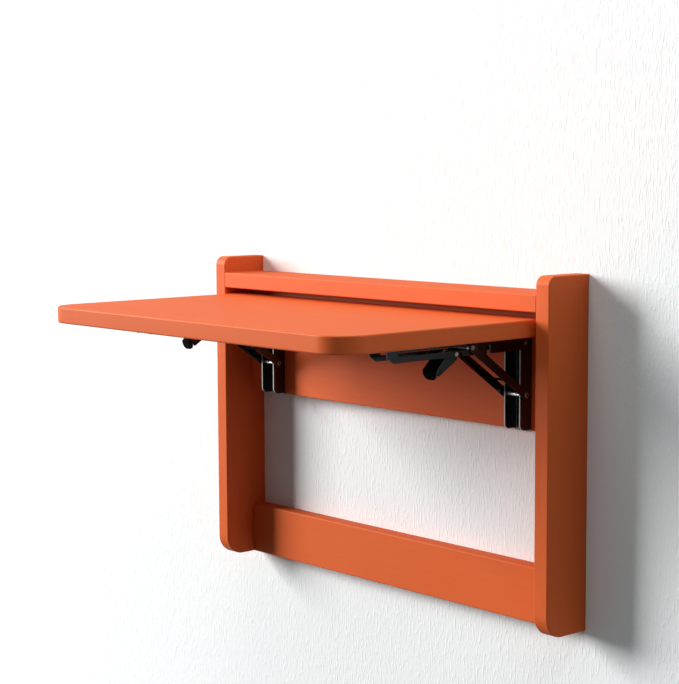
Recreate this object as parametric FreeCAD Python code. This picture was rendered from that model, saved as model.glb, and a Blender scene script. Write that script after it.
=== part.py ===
import FreeCAD, Part
import math
import os

# Millimetres. X runs along the wall, -Y points into the room, Z is up.
# Everything is drawn with Z = 0 at the feet of the posts and Y = 0 on the wall,
# then lowered so that the middle of the back panel's wall face is the origin.
origin_height = 296.0

# boards
board = 20.0
overall_width = 600.0
frame_depth = 66.0
post_height = 408.0
post_top_corner = 11.0
post_foot_corner = 26.0
top_rail_z = 367.0
panel_z = 225.0
lower_rail_height = 66.0
edge_round = 1.5

# folding leaf
leaf_width = 550.0
leaf_reach = 308.0
leaf_back_y = -41.0
leaf_z = 339.0
leaf_corner = 38.0
leaf_edge_round = 2.0

# wooden dowels and the two holes for fixing to the wall
dowel_radius = 4.0
dowel_in_post = 12.0
dowel_in_rail = 18.0
wall_hole_spacing = 400.0
wall_hole_z = 352.0
wall_hole_radius = 2.5
wall_hole_sink = 5.0

# folding brackets: one under each end of the leaf
bracket_x = 222.0
sheet = 1.5
bend = 2.2
hinge_y = -34.5
hinge_z = 328.0
running_gap = 0.05

wall_channel_half = 12.5
wall_channel_front = 6.0
wall_channel_foot = -101.0
wall_channel_tail = -103.5
wall_channel_head = 8.0

arm_half = 14.3
arm_top = 11.0
arm_bottom = -7.5
arm_back = -9.5
arm_front = 214.5
arm_slot = (88.0, 196.8)
slot_height = 1.2
slot_half = 2.3
notch_a = 60.0
notch_half = 2.8

strut_pivot = (0.0, -60.0)
strut_head = (88.0, 1.2)
strut_half_width = 5.0
bar_inner = 15.4
bar_outer = 16.9
bridge_from = 42.0
bridge_to = 45.0
bridge_depth = -4.9
bridge_notch_a = 103.5
bridge_notch_half = 2.4
bridge_notch_top = -2.4

lever_pivot = (110.5, -4.4)
lever_half = 10.5
lever_lip = [(125.5, -8.9), (138.9, -21.8), (136.5, -32.0)]
lever_flange = [(111.0, -1.3), (122.0, -6.0), (125.5, -8.9), (138.9, -21.8),
                (133.7, -27.6), (105.6, -10.7), (105.6, -6.5), (107.5, -3.8)]
tongue_round = 8.0

spring_radius = 2.6
spring_wire = 0.7
spring_pitch = 1.1
spring_turns = 5
spring_leg = 4.0

corner_pin_radius = 2.5
strut_pin_radius = 2.0
slide_pin_radius = 2.0
lever_pin_radius = 1.5

screw_length = 16.0
screw_radius = 2.0
screw_head_radius = 3.7
screw_head_height = 2.2
wall_screw_heights = (243.0, 290.0, 312.0)
arm_screw_places = (26.0, 74.0, 203.0)


def vec(x, y, z):
    return FreeCAD.Vector(x, y, z)


def block(x0, x1, y0, y1, z0, z1):
    return Part.makeBox(x1 - x0, y1 - y0, z1 - z0, vec(x0, y0, z0))


def rod(point, radius, x0, x1):
    return Part.makeCylinder(radius, x1 - x0, vec(x0, point.y, point.z), vec(1, 0, 0))


def rounded_wire(corners):
    starts, middles, ends = [], [], []
    for i, (here, radius) in enumerate(corners):
        if radius == 0:
            starts.append(here)
            middles.append(None)
            ends.append(here)
            continue
        back = (corners[i - 1][0] - here).normalize()
        ahead = (corners[(i + 1) % len(corners)][0] - here).normalize()
        half_angle = back.getAngle(ahead) / 2
        reach = radius / math.tan(half_angle)
        inward = (back + ahead).normalize()
        starts.append(here + back * reach)
        middles.append(here + inward * (radius / math.sin(half_angle) - radius))
        ends.append(here + ahead * reach)
    edges = []
    for i, middle in enumerate(middles):
        if middle is not None:
            edges.append(Part.Arc(starts[i], middle, ends[i]).toShape())
        following = starts[(i + 1) % len(corners)]
        if ends[i].distanceToPoint(following) > 1e-6:
            edges.append(Part.makeLine(ends[i], following))
    return Part.Wire(edges)


def prism(corners, sweep):
    return Part.Face(rounded_wire(corners)).extrude(sweep)


# A point of a bracket's side view: a is forward of the hinge, h above it.
def side(a, h, x=0.0):
    return vec(x, hinge_y - a, hinge_z + h)


# A flat plate in side view, from corners (a, h, corner radius).
def side_plate(corners, x0, x1):
    return prism([(side(a, h, x0), radius) for a, h, radius in corners], vec(x1 - x0, 0, 0))


def soften(solid, radius, chosen):
    return solid.makeFillet(radius, [e for e in solid.Edges if chosen(e.BoundBox)])


def bevel(solid, size, chosen):
    return solid.makeChamfer(size, [e for e in solid.Edges if chosen(e.BoundBox)])


def post(inner, outer):
    x0, x1 = min(inner, outer), max(inner, outer)
    corners = [(vec(x0, 0, 0), 0), (vec(x0, -frame_depth, 0), post_foot_corner),
               (vec(x0, -frame_depth, post_height), post_top_corner), (vec(x0, 0, post_height), 0)]
    solid = prism(corners, vec(x1 - x0, 0, 0))
    return soften(solid, edge_round, lambda b: b.XLength < 1e-6 and b.YMin < -1)


def rail(depth, z0, z1, rounded_z):
    half = overall_width / 2 - board
    solid = block(-half, half, -depth, 0, z0, z1)
    return soften(solid, edge_round, lambda b: b.XLength > 1 and b.YMax < -1
                  and any(abs(b.ZMax - z) < 1e-3 for z in rounded_z))


# Dowel centres (y, z) in the end of each rail.
def dowel_places():
    return [(-18.0, top_rail_z + board / 2), (-48.0, top_rail_z + board / 2),
            (-board / 2, panel_z + 36), (-board / 2, panel_z + 108),
            (-board / 2, 16.0), (-board / 2, lower_rail_height - 16.0)]


def dowels(sign):
    face = overall_width / 2 - board
    ends = sorted((sign * (face + dowel_in_post), sign * (face - dowel_in_rail)))
    return [rod(vec(0, y, z), dowel_radius, ends[0], ends[1]) for y, z in dowel_places()]


def wall_holes():
    holes = []
    for sign in (-1, 1):
        x = sign * wall_hole_spacing / 2
        holes.append(Part.makeCylinder(wall_hole_radius, board, vec(x, 0, wall_hole_z), vec(0, -1, 0)))
        depth = wall_hole_sink - wall_hole_radius
        holes.append(Part.makeCone(wall_hole_radius, wall_hole_sink, depth,
                                   vec(x, depth - board, wall_hole_z), vec(0, -1, 0)))
    return holes


def leaf():
    half = leaf_width / 2
    solid = block(-half, half, leaf_back_y - leaf_reach, leaf_back_y, leaf_z, leaf_z + board)
    solid = soften(solid, leaf_corner, lambda b: b.ZLength > 1 and b.YMax < leaf_back_y - 1)
    return soften(solid, leaf_edge_round, lambda b: b.ZLength < 1e-6)


# A cross-recessed screw with its head seat at the origin and its tip towards -Z.
def screw():
    head = Part.makeCylinder(screw_head_radius, screw_head_height)
    head = bevel(head, 1.0, lambda b: b.ZMin > screw_head_height - 1e-3 and b.XLength > 1)
    shank = Part.makeCylinder(screw_radius, screw_length - 3, vec(0, 0, 3 - screw_length))
    tip = Part.makeCone(0.3, screw_radius, 3, vec(0, 0, -screw_length))
    recess = block(-2.1, 2.1, -0.4, 0.4, screw_head_height - 1.3, screw_head_height)
    crossing = block(-0.4, 0.4, -2.1, 2.1, screw_head_height - 1.3, screw_head_height)
    return head.fuse([shank, tip]).cut(recess.fuse(crossing)).removeSplitter()


# Screws that hold the wall channel to the back panel.
def wall_channel_screws():
    solids = []
    for z in wall_screw_heights:
        solid = screw()
        solid.rotate(vec(0, 0, 0), vec(1, 0, 0), 90)
        solid.translate(vec(0, -board - sheet, z))
        solids.append(solid)
    return solids


# Screws that hold the arm channel up against the leaf.
def arm_screws():
    solids = []
    for a in arm_screw_places:
        solid = screw()
        solid.rotate(vec(0, 0, 0), vec(1, 0, 0), 180)
        solid.translate(side(a, arm_top - sheet))
        solids.append(solid)
    return solids


# The U-shaped section of a bent channel: point(x, d) places d behind the open lips.
def channel_section(half, depth, point):
    inner = half - sheet
    return [(point(-half, 0), 0), (point(-half, depth), bend), (point(half, depth), bend),
            (point(half, 0), 0), (point(inner, 0), 0), (point(inner, depth - sheet), bend - sheet),
            (point(-inner, depth - sheet), bend - sheet), (point(-inner, 0), 0)]


def wall_channel():
    back = hinge_y + board
    depth = wall_channel_front - back
    section = channel_section(wall_channel_half, depth,
                              lambda x, d: side(wall_channel_front - d, wall_channel_tail, x))
    folded = prism(section, vec(0, 0, wall_channel_head - wall_channel_tail))
    outline = [(back, wall_channel_tail, 0), (back + sheet + 0.1, wall_channel_tail, 0),
               (back + sheet + 0.1, wall_channel_foot, 0),
               (wall_channel_front, wall_channel_foot, 7.0),
               (wall_channel_front, wall_channel_head, 6.0), (back, wall_channel_head, 0)]
    solid = folded.common(side_plate(outline, -wall_channel_half, wall_channel_half))
    bores = [rod(side(0, 0), corner_pin_radius, -20, 20),
             rod(side(*strut_pivot), strut_pin_radius, -20, 20)]
    return solid.cut(bores + wall_channel_screws())


# A notch cut up from the arm's lower edge; it takes a cross piece of the bracket when folded.
def notch(a, half, top, radius):
    return side_plate([(a - half, arm_bottom - 1, 0), (a - half, top, radius),
                       (a + half, top, radius), (a + half, arm_bottom - 1, 0)], -20, 20)


def arm_channel():
    section = channel_section(arm_half, arm_top - arm_bottom,
                              lambda x, d: side(arm_back, arm_bottom + d, x))
    folded = prism(section, vec(0, arm_back - arm_front, 0))
    outline = [(arm_back, arm_bottom, 7.4), (arm_back, arm_top, 9.0), (arm_front, arm_top, 6.5),
               (arm_front, -1.5, 3.0), (arm_front - 9.0, arm_bottom, 2.0)]
    solid = folded.common(side_plate(outline, -arm_half, arm_half))
    slot_ends = (arm_slot[0] - slot_half, arm_slot[1] + slot_half)
    slot = [(slot_ends[0], slot_height - slot_half, slot_half),
            (slot_ends[0], slot_height + slot_half, slot_half),
            (slot_ends[1], slot_height + slot_half, slot_half),
            (slot_ends[1], slot_height - slot_half, slot_half)]
    openings = [side_plate(slot, -20, 20),
                notch(notch_a, notch_half, notch_half, notch_half - 0.01),
                notch(bridge_notch_a, bridge_notch_half, bridge_notch_top, 1.0),
                rod(side(0, 0), corner_pin_radius + running_gap, -20, 20),
                rod(side(*lever_pivot), lever_pin_radius, -20, 20)]
    return solid.cut(openings + arm_screws())


# Two bars joined by a bridge at their lower edges; s runs from the pivot to the sliding end.
def strut():
    run = strut_head[0] - strut_pivot[0]
    rise = strut_head[1] - strut_pivot[1]
    length = math.hypot(run, rise)
    cos, sin = run / length, rise / length

    def along(s, t, x):
        return side(strut_pivot[0] + s * cos - t * sin, strut_pivot[1] + s * sin + t * cos, x)

    def plate(x0, x1, s0, s1, t0, t1, radius=0):
        corners = [(along(s, t, x0), radius) for s, t in ((s0, t0), (s1, t0), (s1, t1), (s0, t1))]
        return prism(corners, vec(x1 - x0, 0, 0))

    w = strut_half_width
    middle = (bar_inner + bar_outer) / 2
    pieces = [plate(-middle, middle, bridge_from, bridge_to, bridge_depth, bridge_depth + sheet)]
    for x0, x1 in ((-bar_outer, -bar_inner), (bar_inner, bar_outer)):
        pieces.append(plate(x0, x1, -w, length + w, -w, w, w))
    solid = pieces[0].fuse(pieces[1:])
    bores = [rod(side(*strut_pivot), strut_pin_radius + running_gap, -20, 20),
             rod(side(*strut_head), slide_pin_radius, -20, 20)]
    return solid.cut(bores).removeSplitter()


# A round head between x0 and x1, bevelled on the side away from the bracket's middle.
def head(point, radius, x0, x1, edge):
    outer = x1 if x1 > 0 else x0
    return bevel(rod(point, radius, x0, x1), edge,
                 lambda b: b.XLength < 1e-6 and abs(b.XMin - outer) < 1e-3 and b.YLength > 1)


def rivet(point, radius, head_radius, inner, outer, edge):
    shank = rod(point, radius, -inner, inner)
    heads = [head(point, head_radius, inner, outer, edge), head(point, head_radius, -outer, -inner, edge)]
    return shank.fuse(heads).removeSplitter()


# The hollow rivets that close the sliding end of the two bars.
def strut_rivets():
    point = side(*strut_head)
    solids = []
    for sign in (-1, 1):
        x0, x1 = sorted((sign * bar_inner, sign * bar_outer))
        h0, h1 = sorted((sign * bar_outer, sign * (bar_outer + 1.0)))
        solid = rod(point, slide_pin_radius, x0, x1).fuse(head(point, 2.9, h0, h1, 0.6))
        solids.append(solid.cut(rod(point, 1.2, -20, 20)).removeSplitter())
    return solids


# Corners of a bent strip: the outer line and the same line one sheet thickness inside it.
def strip_corners(line):
    normals = []
    for (a0, h0), (a1, h1) in zip(line, line[1:]):
        length = math.hypot(a1 - a0, h1 - h0)
        normals.append(((h1 - h0) / length, (a0 - a1) / length))
    inner = [(line[0][0] + sheet * normals[0][0], line[0][1] + sheet * normals[0][1])]
    for (a, h), (na, nh), (ma, mh) in zip(line[1:], normals, normals[1:]):
        share = sheet / (1 + na * ma + nh * mh)
        inner.append((a + share * (na + ma), h + share * (nh + mh)))
    inner.append((line[-1][0] + sheet * normals[-1][0], line[-1][1] + sheet * normals[-1][1]))
    return [(a, h, 0) for a, h in line + inner[::-1]]


# The release lever: two side cheeks on the pivot, a face plate and a thumb tongue.
def release_lever():
    face = side_plate(strip_corners(lever_lip), -lever_half, lever_half)
    tip_z = side(*lever_lip[-1]).z
    face = soften(face, tongue_round, lambda b: b.XLength < 1e-6 and b.ZMax < tip_z + 1)
    pieces = []
    for x0, x1 in ((-lever_half, sheet - lever_half), (lever_half - sheet, lever_half)):
        pieces.append(side_plate([(a, h, 0) for a, h in lever_flange], x0, x1))
        pieces.append(rod(side(*lever_pivot), 3.2, x0, x1))
    bore = rod(side(*lever_pivot), lever_pin_radius + running_gap, -20, 20)
    return face.fuse(pieces).cut(bore).removeSplitter()


# The coil spring round the lever's pivot, wound from square wire, with a short leg at each end.
def lever_spring():
    helix = Part.makeHelix(spring_pitch, spring_pitch * spring_turns, spring_radius)
    climb = spring_pitch / (2 * math.pi)
    travel = vec(0, spring_radius, climb).normalize()
    first = vec(spring_radius, 0, 0)
    last = vec(spring_radius, 0, spring_pitch * spring_turns)
    path = Part.Wire([Part.makeLine(first - travel * spring_leg, first)] + helix.Edges
                     + [Part.makeLine(last, last + travel * spring_leg)])
    start = first - travel * spring_leg
    across, up = vec(spring_wire / 2, 0, 0), travel.cross(vec(1, 0, 0)) * (spring_wire / 2)
    corners = [start + across + up, start - across + up, start - across - up, start + across - up]
    coil = path.makePipeShell([Part.makePolygon(corners + corners[:1])], True, True)
    coil.translate(vec(0, 0, -spring_pitch * spring_turns / 2))
    coil.rotate(vec(0, 0, 0), vec(0, 1, 0), 90)
    coil.translate(side(*lever_pivot))
    return coil


def moved(shapes, dx):
    copies = [shape.copy() for shape in shapes]
    for shape in copies:
        shape.translate(vec(dx, 0, 0))
    return copies


def save(name, shapes):
    shape = shapes[0] if len(shapes) == 1 else Part.makeCompound(shapes)
    lowered = shape.copy()
    lowered.translate(vec(0, 0, -origin_height))
    lowered.exportStep("parts/%s.step" % name)


def build_boards():
    inner, outer = overall_width / 2 - board, overall_width / 2
    pegs = {"left": dowels(-1), "right": dowels(1)}
    all_pegs = pegs["left"] + pegs["right"]
    screws_left, screws_right = (moved(wall_channel_screws(), x) for x in (-bracket_x, bracket_x))
    save("left_post", [post(-inner, -outer).cut(all_pegs)])
    save("right_post", [post(inner, outer).cut(all_pegs)])
    save("left_dowels", pegs["left"])
    save("right_dowels", pegs["right"])
    save("top_rail", [rail(frame_depth, top_rail_z, top_rail_z + board,
                           (top_rail_z, top_rail_z + board)).cut(all_pegs)])
    save("back_panel", [rail(board, panel_z, top_rail_z, (panel_z,))
                        .cut(all_pegs + wall_holes() + screws_left + screws_right)])
    save("lower_rail", [rail(board, 0, lower_rail_height, (0, lower_rail_height)).cut(all_pegs)])
    save("table_leaf", [leaf().cut(moved(arm_screws(), -bracket_x) + moved(arm_screws(), bracket_x))])


def build_bracket(name, x):
    pieces = {
        "wall_channel": [wall_channel()],
        "wall_channel_screws": wall_channel_screws(),
        "corner_pin": [rivet(side(0, 0), corner_pin_radius, 3.6, 14.4, 15.1, 0.5)],
        "strut_pin": [rivet(side(*strut_pivot), strut_pin_radius, 2.9, 17.0, 17.9, 0.6)],
        "arm_channel": [arm_channel()],
        "arm_screws": arm_screws(),
        "lever_pin": [rivet(side(*lever_pivot), lever_pin_radius, 2.6, arm_half, 15.1, 0.5)],
        "lever_spring": [lever_spring()],
        "release_lever": [release_lever()],
        "strut": [strut()],
        "strut_rivets": strut_rivets(),
        "slide_pin": [rod(side(*strut_head), slide_pin_radius, -15.1, 15.1)],
    }
    for piece, shapes in pieces.items():
        save("%s_%s" % (name, piece), moved(shapes, x))


os.makedirs("parts", exist_ok=True)
build_boards()
build_bracket("left", -bracket_x)
build_bracket("right", bracket_x)
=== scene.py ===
import math
import bmesh
import bpy
from mathutils import Matrix, Vector


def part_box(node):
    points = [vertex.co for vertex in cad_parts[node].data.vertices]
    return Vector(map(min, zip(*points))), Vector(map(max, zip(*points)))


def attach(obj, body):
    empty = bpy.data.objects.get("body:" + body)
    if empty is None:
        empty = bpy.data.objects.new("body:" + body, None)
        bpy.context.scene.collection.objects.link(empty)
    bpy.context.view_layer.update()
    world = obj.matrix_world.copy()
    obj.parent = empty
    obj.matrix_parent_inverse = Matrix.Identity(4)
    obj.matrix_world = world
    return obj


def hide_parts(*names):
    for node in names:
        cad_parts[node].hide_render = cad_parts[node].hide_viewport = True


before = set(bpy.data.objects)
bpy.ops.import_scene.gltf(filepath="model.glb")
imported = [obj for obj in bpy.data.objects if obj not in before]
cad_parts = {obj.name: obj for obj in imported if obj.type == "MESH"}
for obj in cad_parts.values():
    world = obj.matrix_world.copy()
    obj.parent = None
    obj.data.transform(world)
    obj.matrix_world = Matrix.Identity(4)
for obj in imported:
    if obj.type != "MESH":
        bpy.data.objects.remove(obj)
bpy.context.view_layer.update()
mm = 0.001
sameSpot = 1e-6  # two places closer than this are one
nearFace = 1e-5  # an edge closer than this to a board's face lies on it
sharpTurn = 40.0  # degrees; faces that meet at more than this keep a crisp edge


def boxMesh(low, high):
    bm = bmesh.new()
    bmesh.ops.create_cube(bm, size=1.0)
    bmesh.ops.scale(bm, vec=Vector(high) - Vector(low), verts=bm.verts)
    bmesh.ops.translate(bm, vec=(Vector(high) + Vector(low)) / 2, verts=bm.verts)
    return bm


# rounds the edges whose two ends the given test accepts
def roundEdges(bm, chosen, radius, segments):
    edges = [e for e in bm.edges if chosen(*(v.co for v in e.verts))]
    bmesh.ops.bevel(bm, geom=edges, offset=radius, offset_type="OFFSET", segments=segments,
                    profile=0.5, affect="EDGES", material=-1, clamp_overlap=True)


def finishPiece(bm, name, body, material, replaced):
    bmesh.ops.remove_doubles(bm, verts=bm.verts, dist=sameSpot)
    bmesh.ops.recalc_face_normals(bm, faces=bm.faces)
    mesh = bpy.data.meshes.new(name)
    bm.to_mesh(mesh)
    bm.free()
    mesh.shade_smooth()
    mesh.set_sharp_from_angle(angle=math.radians(sharpTurn))
    piece = bpy.data.objects.new(name, mesh)
    bpy.context.scene.collection.objects.link(piece)
    mesh.materials.append(material)
    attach(piece, body)
    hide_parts(*replaced)
    return piece


# keeps the broad faces flat beside their rounded edges
def evenNormals(piece):
    weighting = piece.modifiers.new("Even normals", "WEIGHTED_NORMAL")
    weighting.keep_sharp = True


def startMaterial(name):
    material = bpy.data.materials.new(name)
    material.use_nodes = True
    nodes = material.node_tree.nodes
    return material, nodes, material.node_tree.links, nodes["Principled BSDF"]


def noiseOn(nodes, links, scale, detail, rough=0.55, distort=0.0, stretch=(1, 1, 1)):
    mapping = nodes.new("ShaderNodeMapping")
    mapping.inputs["Scale"].default_value = stretch
    links.new(nodes.new("ShaderNodeTexCoord").outputs["Object"], mapping.inputs["Vector"])
    noise = nodes.new("ShaderNodeTexNoise")
    noise.inputs["Scale"].default_value = scale
    noise.inputs["Detail"].default_value = detail
    noise.inputs["Roughness"].default_value = rough
    noise.inputs["Distortion"].default_value = distort
    links.new(mapping.outputs["Vector"], noise.inputs["Vector"])
    return noise.outputs["Fac"]


# shades are pairs of a place from 0 to 1 and a colour
def ramp(nodes, links, value, shades):
    node = nodes.new("ShaderNodeValToRGB")
    elements = node.color_ramp.elements
    while len(elements) < len(shades):
        elements.new(0.5)
    for element, (place, colour) in zip(elements, shades):
        element.position = place
        element.color = (*colour, 1.0)
    links.new(value, node.inputs["Fac"])
    return node.outputs["Color"]


# stretches a noise, which mostly stays between 0.3 and 0.7, to the wanted range
def spread(nodes, links, value, low, high, fromLow=0.3, fromHigh=0.7):
    node = nodes.new("ShaderNodeMapRange")
    node.inputs["From Min"].default_value = fromLow
    node.inputs["From Max"].default_value = fromHigh
    node.inputs["To Min"].default_value = low
    node.inputs["To Max"].default_value = high
    links.new(value, node.inputs["Value"])
    return node.outputs["Result"]


# gives low where the share is 0 and high where it is 1
def between(nodes, links, share, low, high):
    return spread(nodes, links, share, low, high, 0.0, 1.0)


def bumpFrom(nodes, links, height, strength, distance, before=None):
    node = nodes.new("ShaderNodeBump")
    node.inputs["Strength"].default_value = strength
    node.inputs["Distance"].default_value = distance
    links.new(height, node.inputs["Height"])
    if before is not None:
        links.new(before, node.inputs["Normal"])
    return node.outputs["Normal"]


def attributeOn(nodes, name):
    node = nodes.new("ShaderNodeAttribute")
    node.attribute_name = name
    return node.outputs["Fac"]


# each of the two colours is either written out or the output of another node
def blend(nodes, links, share, first, second):
    node = nodes.new("ShaderNodeMix")
    node.data_type = "RGBA"
    links.new(share, node.inputs["Factor"])
    for place, colour in (("A", first), ("B", second)):
        socket = next(s for s in node.inputs if s.name == place and s.type == "RGBA")
        if isinstance(colour, tuple):
            socket.default_value = (*colour, 1.0)
        else:
            links.new(colour, socket)
    return next(s for s in node.outputs if s.type == "RGBA")


lacquer = {
    "shades": [(0.35, (0.725, 0.126, 0.029)), (0.50, (0.740, 0.131, 0.031)),
               (0.65, (0.755, 0.137, 0.033))],
    "roughLow": 0.45,
    "roughHigh": 0.48,
    "shine": 0.11,
    "fibres": {"scale": 9.0, "detail": 6.0, "rough": 0.6, "distort": 0.4},
    "acrossGrain": 26.0,
    "alongGrain": 1.3,
    "cloud": {"scale": 7.0, "detail": 3.0},
    "cloudShare": 0.5,
    "peel": {"scale": 520.0, "detail": 2.0},
    "grainBump": {"strength": 0.3, "distance": 0.03 * mm},
    "peelBump": {"strength": 0.5, "distance": 0.02 * mm},
}


# satin paint over wood: the grain runs along the given axis and only just shows
def orangeLacquer(name, grain):
    material, nodes, links, shader = startMaterial(name)
    stretch = [lacquer["acrossGrain"]] * 3
    stretch["XYZ".index(grain)] = lacquer["alongGrain"]
    fibres = noiseOn(nodes, links, stretch=stretch, **lacquer["fibres"])
    cloud = noiseOn(nodes, links, **lacquer["cloud"])
    peel = noiseOn(nodes, links, **lacquer["peel"])
    mixed = nodes.new("ShaderNodeMath")
    mixed.operation = "MULTIPLY_ADD"
    mixed.inputs[1].default_value = 1.0 - lacquer["cloudShare"]
    links.new(fibres, mixed.inputs[0])
    links.new(between(nodes, links, cloud, 0.0, lacquer["cloudShare"]), mixed.inputs[2])
    links.new(ramp(nodes, links, mixed.outputs[0], lacquer["shades"]), shader.inputs["Base Color"])
    links.new(spread(nodes, links, cloud, lacquer["roughLow"], lacquer["roughHigh"]),
              shader.inputs["Roughness"])
    grainBump = bumpFrom(nodes, links, fibres, **lacquer["grainBump"])
    links.new(bumpFrom(nodes, links, peel, before=grainBump, **lacquer["peelBump"]),
              shader.inputs["Normal"])
    shader.inputs["Specular IOR Level"].default_value = lacquer["shine"]
    return material


blackCoat = {
    "shades": [(0.35, (0.005, 0.005, 0.006)), (0.70, (0.014, 0.014, 0.015))],
    # pale colour painted on the cut edges as a highlight
    "paintedEdgeHighlight": (0.620, 0.600, 0.590),
    "roughLow": 0.16,
    "roughHigh": 0.26,
    "shine": 0.9,
    "shineWhereDull": 0.0,
    "cloud": {"scale": 60.0, "detail": 4.0},
    "grit": {"scale": 1400.0, "detail": 2.0},
    "gritBump": {"strength": 0.4, "distance": 0.01 * mm},
}


# glossy black coat, dull where "dull" is 1, and pale on the marked cut edges, a painted highlight along
# them
def blackSteel():
    material, nodes, links, shader = startMaterial("Black coated steel")
    cloud = noiseOn(nodes, links, **blackCoat["cloud"])
    grit = noiseOn(nodes, links, **blackCoat["grit"])
    coat = ramp(nodes, links, cloud, blackCoat["shades"])
    links.new(blend(nodes, links, attributeOn(nodes, "paintedEdgeHighlight"), coat, blackCoat["paintedEdgeHighlight"]),
              shader.inputs["Base Color"])
    links.new(spread(nodes, links, cloud, blackCoat["roughLow"], blackCoat["roughHigh"]),
              shader.inputs["Roughness"])
    shine = between(nodes, links, attributeOn(nodes, "dull"), blackCoat["shine"],
                    blackCoat["shineWhereDull"])
    links.new(shine, shader.inputs["Specular IOR Level"])
    links.new(bumpFrom(nodes, links, grit, **blackCoat["gritBump"]), shader.inputs["Normal"])
    return material


brushing = {
    "lines": {"scale": 30.0, "detail": 4.0, "stretch": (6.0, 60.0, 60.0)},
    "cloud": {"scale": 300.0, "detail": 3.0},
    "bump": {"strength": 0.2, "distance": 0.01 * mm},
}
screwFinish = {
    "shades": [(0.3, (0.030, 0.030, 0.032)), (0.7, (0.070, 0.070, 0.072))],
    "roughLow": 0.25,
    "roughHigh": 0.40,
}
springFinish = {
    "shades": [(0.3, (0.36, 0.36, 0.38)), (0.7, (0.52, 0.52, 0.54))],
    "roughLow": 0.25,
    "roughHigh": 0.40,
}


def brushedMetal(name, finish):
    material, nodes, links, shader = startMaterial(name)
    lines = noiseOn(nodes, links, **brushing["lines"])
    cloud = noiseOn(nodes, links, **brushing["cloud"])
    links.new(ramp(nodes, links, cloud, finish["shades"]), shader.inputs["Base Color"])
    links.new(spread(nodes, links, lines, finish["roughLow"], finish["roughHigh"]),
              shader.inputs["Roughness"])
    links.new(bumpFrom(nodes, links, lines, **brushing["bump"]), shader.inputs["Normal"])
    shader.inputs["Metallic"].default_value = 1.0
    return material


pinFinish = {
    "zinc": [(0.3, (0.80, 0.80, 0.81)), (0.7, (0.92, 0.92, 0.93))],
    "black": (0.010, 0.010, 0.011),
    "metal": 0.65,
    "roughLow": 0.28,
    "roughHigh": 0.40,
    "cloud": {"scale": 300.0, "detail": 3.0},
    "bump": {"strength": 0.2, "distance": 0.01 * mm},
}


# pins and rivets: pale zinc where the marked value is 1, blackened with the bracket where it is 0; on
# the heads this pale zinc is partly bare metal and partly a painted highlight
def pinMetal():
    material, nodes, links, shader = startMaterial("Zinc pins")
    bare = attributeOn(nodes, "bare")
    cloud = noiseOn(nodes, links, **pinFinish["cloud"])
    zinc = ramp(nodes, links, cloud, pinFinish["zinc"])
    links.new(blend(nodes, links, bare, pinFinish["black"], zinc), shader.inputs["Base Color"])
    links.new(spread(nodes, links, cloud, pinFinish["roughLow"], pinFinish["roughHigh"]),
              shader.inputs["Roughness"])
    links.new(between(nodes, links, bare, 0.0, pinFinish["metal"]), shader.inputs["Metallic"])
    links.new(bumpFrom(nodes, links, cloud, **pinFinish["bump"]), shader.inputs["Normal"])
    return material


beechFinish = {
    "shades": [(0.3, (0.46, 0.29, 0.15)), (0.7, (0.66, 0.46, 0.27))],
    "roughLow": 0.55,
    "roughHigh": 0.70,
    "fibres": {"scale": 12.0, "detail": 6.0, "rough": 0.6, "distort": 0.5,
               "stretch": (3.0, 60.0, 60.0)},
    "bump": {"strength": 0.3, "distance": 0.05 * mm},
}


def plainBeech():
    material, nodes, links, shader = startMaterial("Plain beech")
    fibres = noiseOn(nodes, links, **beechFinish["fibres"])
    links.new(ramp(nodes, links, fibres, beechFinish["shades"]), shader.inputs["Base Color"])
    links.new(spread(nodes, links, fibres, beechFinish["roughLow"], beechFinish["roughHigh"]),
              shader.inputs["Roughness"])
    links.new(bumpFrom(nodes, links, fibres, **beechFinish["bump"]), shader.inputs["Normal"])
    return material


lacquerUpright = orangeLacquer("Orange lacquer, upright grain", "Z")
lacquerAcross = orangeLacquer("Orange lacquer, level grain", "X")
coatedSteel = blackSteel()
zincPins = pinMetal()
blackScrew = brushedMetal("Blackened steel", screwFinish)
springSteel = brushedMetal("Spring steel", springFinish)
beech = plainBeech()
print("materials ready")


boards = {
    "edgeRound": 1.5 * mm,
    "edgeSteps": 4,
    "postTop": 11 * mm,
    "postFoot": 26 * mm,
    "leafCorner": 38 * mm,
    "leafRound": 2.0 * mm,
    "cornerSteps": 16,
}


def sameX(a, b):
    return abs(a.x - b.x) < sameSpot


def sameZ(a, b):
    return abs(a.z - b.z) < sameSpot


def makePost(side):
    node = side + "_post"
    low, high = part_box(node)
    front = low.y + nearFace
    bm = boxMesh(low, high)
    roundEdges(bm, lambda a, b: not sameX(a, b) and a.y < front and a.z > 0,
               boards["postTop"], boards["cornerSteps"])
    roundEdges(bm, lambda a, b: not sameX(a, b) and a.y < front and a.z < low.z + nearFace,
               boards["postFoot"], boards["cornerSteps"])
    roundEdges(bm, lambda a, b: sameX(a, b) and min(a.y, b.y) < high.y - nearFace,
               boards["edgeRound"], boards["edgeSteps"])
    post = finishPiece(bm, side + "PostBoard", "frame", lacquerUpright, [node])
    evenNormals(post)


def makeRail(name, node):
    low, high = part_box(node)
    bm = boxMesh(low, high)
    roundEdges(bm, lambda a, b: not sameX(a, b) and a.y < low.y + nearFace,
               boards["edgeRound"], boards["edgeSteps"])
    rail = finishPiece(bm, name, "frame", lacquerAcross, [node])
    evenNormals(rail)


def makeLeaf():
    low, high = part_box("table_leaf")
    bm = boxMesh(low, high)
    roundEdges(bm, lambda a, b: not sameZ(a, b) and a.y < low.y + nearFace,
               boards["leafCorner"], boards["cornerSteps"])
    roundEdges(bm, sameZ, boards["leafRound"], boards["edgeSteps"])
    leaf = finishPiece(bm, "leafBoard", "leaf", lacquerAcross, ["table_leaf"])
    evenNormals(leaf)


makePost("left")
makePost("right")
makeRail("shelfBoard", "top_rail")
makeRail("lowerBoard", "lower_rail")
makeLeaf()
print("boards ready")


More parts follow.
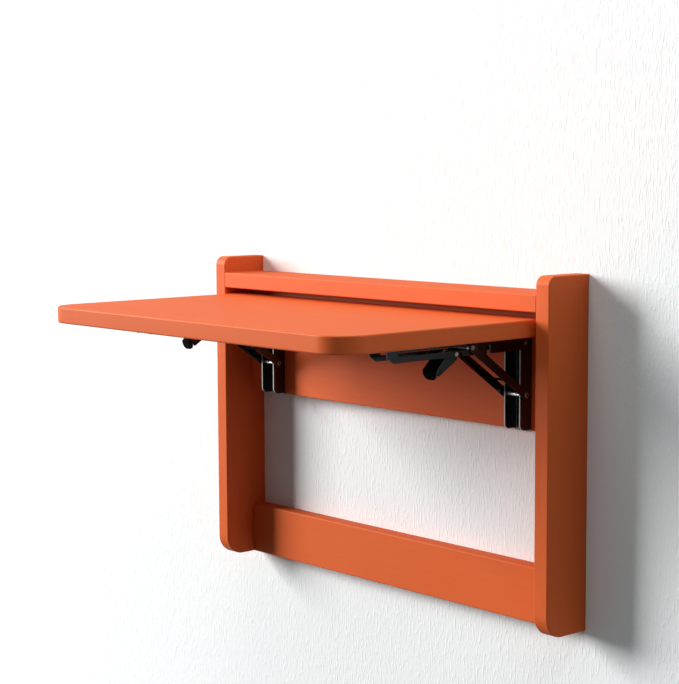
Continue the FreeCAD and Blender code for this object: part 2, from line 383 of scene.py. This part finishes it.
# a facing is how far a face's normal may lean towards X, from 0 to 1
bracketSheet = {
    "thickness": 1.5 * mm,
    "weld": 2e-6,
    "flatAngle": 0.5,
    "sharpAngle": 35.0,
    "edgeRound": 0.3 * mm,
    "edgeSteps": 2,
    "edgeFacing": 0.3,
    # how strong the painted edge highlight is on each kind of stamping, from 0 to 1
    "edgeHighlightShare": {"wall_channel": 1.0, "arm_channel": 0.1, "strut": 0.05, "release_lever": 0.0},
    "dullFacing": 0.5,
    "dullKinds": ("release_lever", "strut"),
}


def runsAlongX(a, b):
    return abs(a.y - b.y) < sameSpot and sameZ(a, b)


# a bracket stamping with its sharp edges taken off, its cut edges marked for a painted highlight and
# its dull faces marked
def softenedSheet(name, side, kind, body):
    node = "%s_%s" % (side, kind)
    sheet = bracketSheet
    bm = bmesh.new()
    bm.from_mesh(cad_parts[node].data)
    bmesh.ops.remove_doubles(bm, verts=bm.verts, dist=sheet["weld"])
    bmesh.ops.dissolve_limit(bm, angle_limit=math.radians(sheet["flatAngle"]), verts=bm.verts,
                             edges=bm.edges, use_dissolve_boundaries=False, delimit=set())
    sharp = math.radians(sheet["sharpAngle"])
    edges = [e for e in bm.edges if len(e.link_faces) == 2 and e.calc_face_angle() > sharp
             and not (kind == "strut" and runsAlongX(*(v.co for v in e.verts)))]
    bmesh.ops.bevel(bm, geom=edges, offset=sheet["edgeRound"], offset_type="OFFSET",
                    segments=sheet["edgeSteps"], profile=0.5, affect="EDGES", material=-1,
                    clamp_overlap=True)
    paintedEdgeHighlight = bm.faces.layers.float.new("paintedEdgeHighlight")
    dull = bm.faces.layers.float.new("dull")
    for face in bm.faces:
        across = [v.co.x for v in face.verts]
        narrow = max(across) - min(across) < sheet["thickness"]
        # narrow side faces are the cut edges, which get the painted highlight
        if narrow and abs(face.normal.x) < sheet["edgeFacing"]:
            face[paintedEdgeHighlight] = sheet["edgeHighlightShare"][kind]
        if kind in sheet["dullKinds"] and abs(face.normal.x) < sheet["dullFacing"]:
            face[dull] = 1.0
    bmesh.ops.triangulate(bm, faces=[f for f in bm.faces if len(f.verts) > 4])
    evenNormals(finishPiece(bm, side + name, body, coatedSteel, [node]))


for side in ("left", "right"):
    softenedSheet("WallLeg", side, "wall_channel", "frame")
    softenedSheet("Arm", side, "arm_channel", "leaf")
    softenedSheet("StrutBars", side, "strut", side + "_strut_link")
    softenedSheet("ReleaseLever", side, "release_lever", side + "_lever")
print("sheet metal ready")


# in millimetres: shank and head are radii, and a head begins at seat, counted from the pin's
# middle; rim and middle say how much pale zinc the head shows there, from 0 to 1, partly bare metal and
# partly a painted highlight
pins = {
    "corner_pin": {"body": "frame", "shank": 2.5, "head": 3.6, "seat": 14.4, "rim": 0.0, "middle": 0.6},
    "strut_pin": {"body": "frame", "shank": 2.0, "head": 2.9, "seat": 17.0, "rim": 0.4, "middle": 0.0},
    "lever_pin": {"body": "leaf", "shank": 1.5, "head": 2.6, "seat": 14.3, "rim": 0.7, "middle": 1.0},
}
headShape = {"flat": 0.4, "fade": 3, "steps": 6, "sides": 48}


# outline of a domed head from its rim to the middle, as (distance, radius, share of pale zinc, partly a
# painted highlight)
def domedHead(inner, outer, radius, rim, middle):
    points = []
    for step in range(headShape["steps"] + 1):
        share = step / headShape["steps"]
        angle = math.radians(90.0 * share)
        reach = headShape["flat"] + (1 - headShape["flat"]) * math.cos(angle)
        bare = rim + (middle - rim) * share ** headShape["fade"]
        points.append((inner + (outer - inner) * math.sin(angle), radius * reach, bare))
    return points


# turns an outline about the pin's axis, which runs along X
def turnedPiece(name, node, body, outline, closed=False):
    low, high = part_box(node)
    centre = (low + high) / 2
    bm = bmesh.new()
    bare = bm.verts.layers.float.new("bare")
    chain = []
    for along, radius, value in outline:
        corner = bm.verts.new(centre + Vector((along * mm, 0.0, radius * mm)))
        corner[bare] = value
        chain.append(corner)
    ends = chain[1:] + chain[:1] if closed else chain[1:]
    edges = [bm.edges.new(pair) for pair in zip(chain, ends)]
    bmesh.ops.spin(bm, geom=chain + edges, cent=centre, axis=(1, 0, 0), angle=math.tau,
                   steps=headShape["sides"], use_merge=True, use_duplicate=False)
    finishPiece(bm, name, body, zincPins, [node])


def mirrored(points):
    return [(-along, radius, value) for along, radius, value in reversed(points)]


def makePin(side, kind):
    pin = pins[kind]
    node = "%s_%s" % (side, kind)
    low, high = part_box(node)
    outer = (high.x - low.x) / 2 / mm
    half = [(pin["seat"], pin["shank"], 1.0)]
    half += domedHead(pin["seat"], outer, pin["head"], pin["rim"], pin["middle"])
    half.append((outer, 0.0, pin["middle"]))
    turnedPiece(node, node, pin["body"], mirrored(half) + half)


# in millimetres: black for this far from the middle, then bare past the fade
slidePin = {"radius": 2.0, "blackened": 9.0, "fade": 0.5, "chamfer": 0.3}


def makeSlidePin(side):
    node = side + "_slide_pin"
    low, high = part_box(node)
    end = (high.x - low.x) / 2 / mm
    radius, chamfer, black = slidePin["radius"], slidePin["chamfer"], slidePin["blackened"]
    half = [(black, radius, 0.0), (black + slidePin["fade"], radius, 1.0),
            (end - chamfer, radius, 1.0), (end, radius - chamfer, 1.0), (end, 0.0, 1.0)]
    turnedPiece(node, node, side + "_slider", mirrored(half) + half)


# in millimetres: lip is the least width left round the bore, sink how deep its mouth lies; rim and
# middle give the head's pale zinc, partly a painted highlight
tubeRivet = {
    "bore": 1.2,
    "shank": 2.0,
    "head": 2.9,
    "inner": 15.4,
    "seat": 16.9,
    "outer": 17.9,
    "lip": 0.25,
    "sink": 0.2,
    "rim": 0.3,
    "middle": 1.0,
}


# the two hollow rivets at the sliding end of the strut
def makeTubeRivets(side):
    node = side + "_strut_rivets"
    rivet = tubeRivet
    outline = [(rivet["inner"], rivet["bore"], 1.0), (rivet["inner"], rivet["shank"], 1.0),
               (rivet["seat"], rivet["shank"], 1.0)]
    head = domedHead(rivet["seat"], rivet["outer"], rivet["head"], rivet["rim"], rivet["middle"])
    for along, radius, value in head:
        outline.append((along, max(radius, rivet["bore"] + rivet["lip"]), value))
    outline.append((rivet["outer"] - rivet["sink"], rivet["bore"], 1.0))
    for name, points in (("Near", outline), ("Far", mirrored(outline))):
        turnedPiece(side + "Rivet" + name, node, side + "_strut_link", points, closed=True)


# in millimetres: radius is that of the turns, wire half the wire's thickness
coil = {
    "radius": 2.6,
    "wire": 0.35,
    "pitch": 1.1,
    "turns": 5,
    "leg": 4.0,
    "stepsPerTurn": 32,
    "sides": 12,
}


# the lever's spring: a helix of round wire with a short straight leg at each end
def makeSpring(side):
    node = side + "_lever_spring"
    low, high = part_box(side + "_lever_pin")
    centre = (low + high) / 2
    length = coil["pitch"] * coil["turns"] * mm
    start = centre + Vector((-length / 2, 0.0, -coil["radius"] * mm))
    travel = Vector((coil["pitch"] / math.tau, coil["radius"], 0.0)).normalized()
    bm = bmesh.new()
    facing = Matrix.Translation(start) @ travel.to_track_quat("Z", "X").to_matrix().to_4x4()
    ring = bmesh.ops.create_circle(bm, cap_ends=False, segments=coil["sides"],
                                   radius=coil["wire"] * mm, matrix=facing)["verts"]
    first = list({e for v in ring for e in v.link_edges})
    steps = coil["stepsPerTurn"] * coil["turns"]
    turned = bmesh.ops.spin(bm, geom=first, cent=centre, axis=(1, 0, 0),
                            dvec=(length / steps, 0, 0), angle=math.tau * coil["turns"],
                            steps=steps, use_merge=False)
    last = [e for e in turned["geom_last"] if isinstance(e, bmesh.types.BMEdge)]
    for edges, way in ((first, -1), (last, 1)):
        leg = bmesh.ops.extrude_edge_only(bm, edges=edges)["geom"]
        tip = [v for v in leg if isinstance(v, bmesh.types.BMVert)]
        bmesh.ops.translate(bm, vec=travel * way * coil["leg"] * mm, verts=tip)
    bmesh.ops.holes_fill(bm, edges=[e for e in bm.edges if e.is_boundary], sides=0)
    finishPiece(bm, side + "LeverCoil", "leaf", springSteel, [node])


for side in ("left", "right"):
    for kind in pins:
        makePin(side, kind)
    makeSlidePin(side)
    makeTubeRivets(side)
    makeSpring(side)
print("pins, rivets and springs ready")


# the remaining pieces keep their own mesh and only get their finish
finishes = {"back_panel": lacquerAcross, "dowels": beech, "screws": blackScrew}
for node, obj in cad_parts.items():
    for word, material in finishes.items():
        if word in node:
            for place in obj.material_slots:
                place.link = "OBJECT"
                place.material = material
print("screws, dowels and back panel finished")


# one value for what is seen directly, one for glossy reflections and one for plain light
def byRay(nodes, links, seen, inGloss, plain):
    path = nodes.new("ShaderNodeLightPath")
    straight = nodes.new("ShaderNodeMath")
    straight.operation = "MAXIMUM"
    links.new(path.outputs["Is Camera Ray"], straight.inputs[0])
    links.new(path.outputs["Is Transmission Ray"], straight.inputs[1])
    reflected = between(nodes, links, path.outputs["Is Glossy Ray"], plain, inGloss)
    chosen = nodes.new("ShaderNodeMapRange")
    links.new(straight.outputs[0], chosen.inputs["Value"])
    links.new(reflected, chosen.inputs["To Min"])
    chosen.inputs["To Max"].default_value = seen
    return chosen.outputs["Result"]


plaster = {
    "white": 0.95,
    "inGloss": 0.36,
    "wallBounce": 0.85,
    "floorBounce": 0.08,
    "rough": 0.9,
    "shine": 0.1,
    "strokes": {"scale": 95.0, "detail": 3.0, "rough": 0.5, "distort": 0.6,
                "stretch": (4.0, 4.0, 1.0)},
    "raisedFrom": 0.50,
    "raisedTo": 0.75,
    "crumbs": {"scale": 150.0, "detail": 3.0},
    "bump": 1.0,
    "strokeDepth": 0.33 * mm,
    "crumbDepth": 0.10 * mm,
    "touching": 2 * mm,
}


def plasterMaterial(name, depth, bounce):
    material, nodes, links, shader = startMaterial(name)
    strokes = noiseOn(nodes, links, **plaster["strokes"])
    crumbs = noiseOn(nodes, links, **plaster["crumbs"])
    raised = spread(nodes, links, strokes, 0.0, 1.0, plaster["raisedFrom"], plaster["raisedTo"])
    strokeBump = bumpFrom(nodes, links, raised, plaster["bump"], depth)
    bump = bumpFrom(nodes, links, crumbs, plaster["bump"], plaster["crumbDepth"], strokeBump)
    links.new(bump, shader.inputs["Normal"])
    links.new(byRay(nodes, links, plaster["white"], plaster["inGloss"], bounce),
              shader.inputs["Base Color"])
    shader.inputs["Roughness"].default_value = plaster["rough"]
    shader.inputs["Specular IOR Level"].default_value = plaster["shine"]
    # seen from its back, or from a surface that all but touches it, the plaster lets light through
    near = nodes.new("ShaderNodeMath")
    near.operation = "LESS_THAN"
    near.inputs[1].default_value = plaster["touching"]
    links.new(nodes.new("ShaderNodeLightPath").outputs["Ray Length"], near.inputs[0])
    either = nodes.new("ShaderNodeMath")
    either.operation = "MAXIMUM"
    links.new(near.outputs[0], either.inputs[0])
    links.new(nodes.new("ShaderNodeNewGeometry").outputs["Backfacing"], either.inputs[1])
    clear = nodes.new("ShaderNodeBsdfTransparent")
    mix = nodes.new("ShaderNodeMixShader")
    links.new(either.outputs[0], mix.inputs["Fac"])
    links.new(shader.outputs["BSDF"], mix.inputs[1])
    links.new(clear.outputs["BSDF"], mix.inputs[2])
    links.new(mix.outputs["Shader"], nodes["Material Output"].inputs["Surface"])
    return material


def stagePlane(name, corners, material):
    bm = bmesh.new()
    bm.faces.new([bm.verts.new(c) for c in corners])
    mesh = bpy.data.meshes.new(name)
    bm.to_mesh(mesh)
    bm.free()
    plane = bpy.data.objects.new(name, mesh)
    bpy.context.scene.collection.objects.link(plane)
    mesh.materials.append(material)


# in metres; the wall stands a hair behind the backs of the boards
room = {"wallGap": 0.3 * mm, "floorHeight": -1.05, "reach": 6.0, "top": 4.5}
reach, floorZ, wallY, wallTop = room["reach"], room["floorHeight"], room["wallGap"], room["top"]
stagePlane("wall", [(-reach, wallY, floorZ), (reach, wallY, floorZ),
                    (reach, wallY, wallTop), (-reach, wallY, wallTop)],
           plasterMaterial("White plaster", plaster["strokeDepth"], plaster["wallBounce"]))
stagePlane("floor", [(-reach, -reach, floorZ), (reach, -reach, floorZ),
                     (reach, wallY, floorZ), (-reach, wallY, floorZ)],
           plasterMaterial("Pale floor", plaster["crumbDepth"], plaster["floorBounce"]))

# a tall window of light on the left, a soft one right above and a weak one high on the right
lamps = {
    "key": {"place": (-6.02, -4.03, 2.15), "width": 3.2, "height": 3.8, "power": 910.0},
    "top": {"place": (-0.20, -0.28, 2.10), "width": 2.0, "height": 0.4, "power": 24.0},
    "fill": {"place": (1.90, -1.70, 2.30), "width": 1.4, "height": 1.0, "power": 14.0},
}
lampAim = Vector((0.0, -0.15, 0.0))
for name, lamp in lamps.items():
    data = bpy.data.lights.new(name, "AREA")
    data.shape = "RECTANGLE"
    data.size = lamp["width"]
    data.size_y = lamp["height"]
    data.energy = lamp["power"]
    light = bpy.data.objects.new(name, data)
    bpy.context.scene.collection.objects.link(light)
    light.location = lamp["place"]
    light.rotation_mode = "QUATERNION"
    light.rotation_quaternion = (lampAim - Vector(lamp["place"])).to_track_quat("-Z", "Y")

# white to the eye and in reflections, cool as a light
sky = {
    "colour": (1.0, 1.0, 1.0),
    "tint": (0.54, 1.00, 1.04),
    "seen": 1.0,
    "inGloss": 0.20,
    "light": 0.11,
}
world = bpy.data.worlds.new("Studio")
bpy.context.scene.world = world
world.use_nodes = True
nodes, links = world.node_tree.nodes, world.node_tree.links
seenOrReflected = byRay(nodes, links, 1.0, 1.0, 0.0)
links.new(blend(nodes, links, seenOrReflected, sky["tint"], sky["colour"]),
          nodes["Background"].inputs["Color"])
links.new(byRay(nodes, links, sky["seen"], sky["inGloss"], sky["light"]),
          nodes["Background"].inputs["Strength"])
print("wall and light ready")


# place and nearest in metres, angles in degrees, sensor and focal in millimetres
lens = {
    "place": (1.5672, -1.4871, 0.2350),
    "yaw": 48.65,
    "down": 5.855,
    "roll": -0.264,
    "sensor": 36.0,
    "focal": 91.18,
    "nearest": 0.05,
}
camera = bpy.data.objects.new("Camera", bpy.data.cameras.new("Camera"))
bpy.context.scene.collection.objects.link(camera)
camera.data.sensor_width = lens["sensor"]
camera.data.lens = lens["focal"]
camera.data.clip_start = lens["nearest"]
turn = (Matrix.Rotation(math.radians(lens["yaw"]), 4, "Z")
        @ Matrix.Rotation(math.radians(90.0 - lens["down"]), 4, "X")
        @ Matrix.Rotation(math.radians(lens["roll"]), 4, "Z"))
camera.matrix_world = Matrix.Translation(lens["place"]) @ turn
bpy.context.scene.camera = camera
bpy.context.scene.view_settings.view_transform = "Standard"
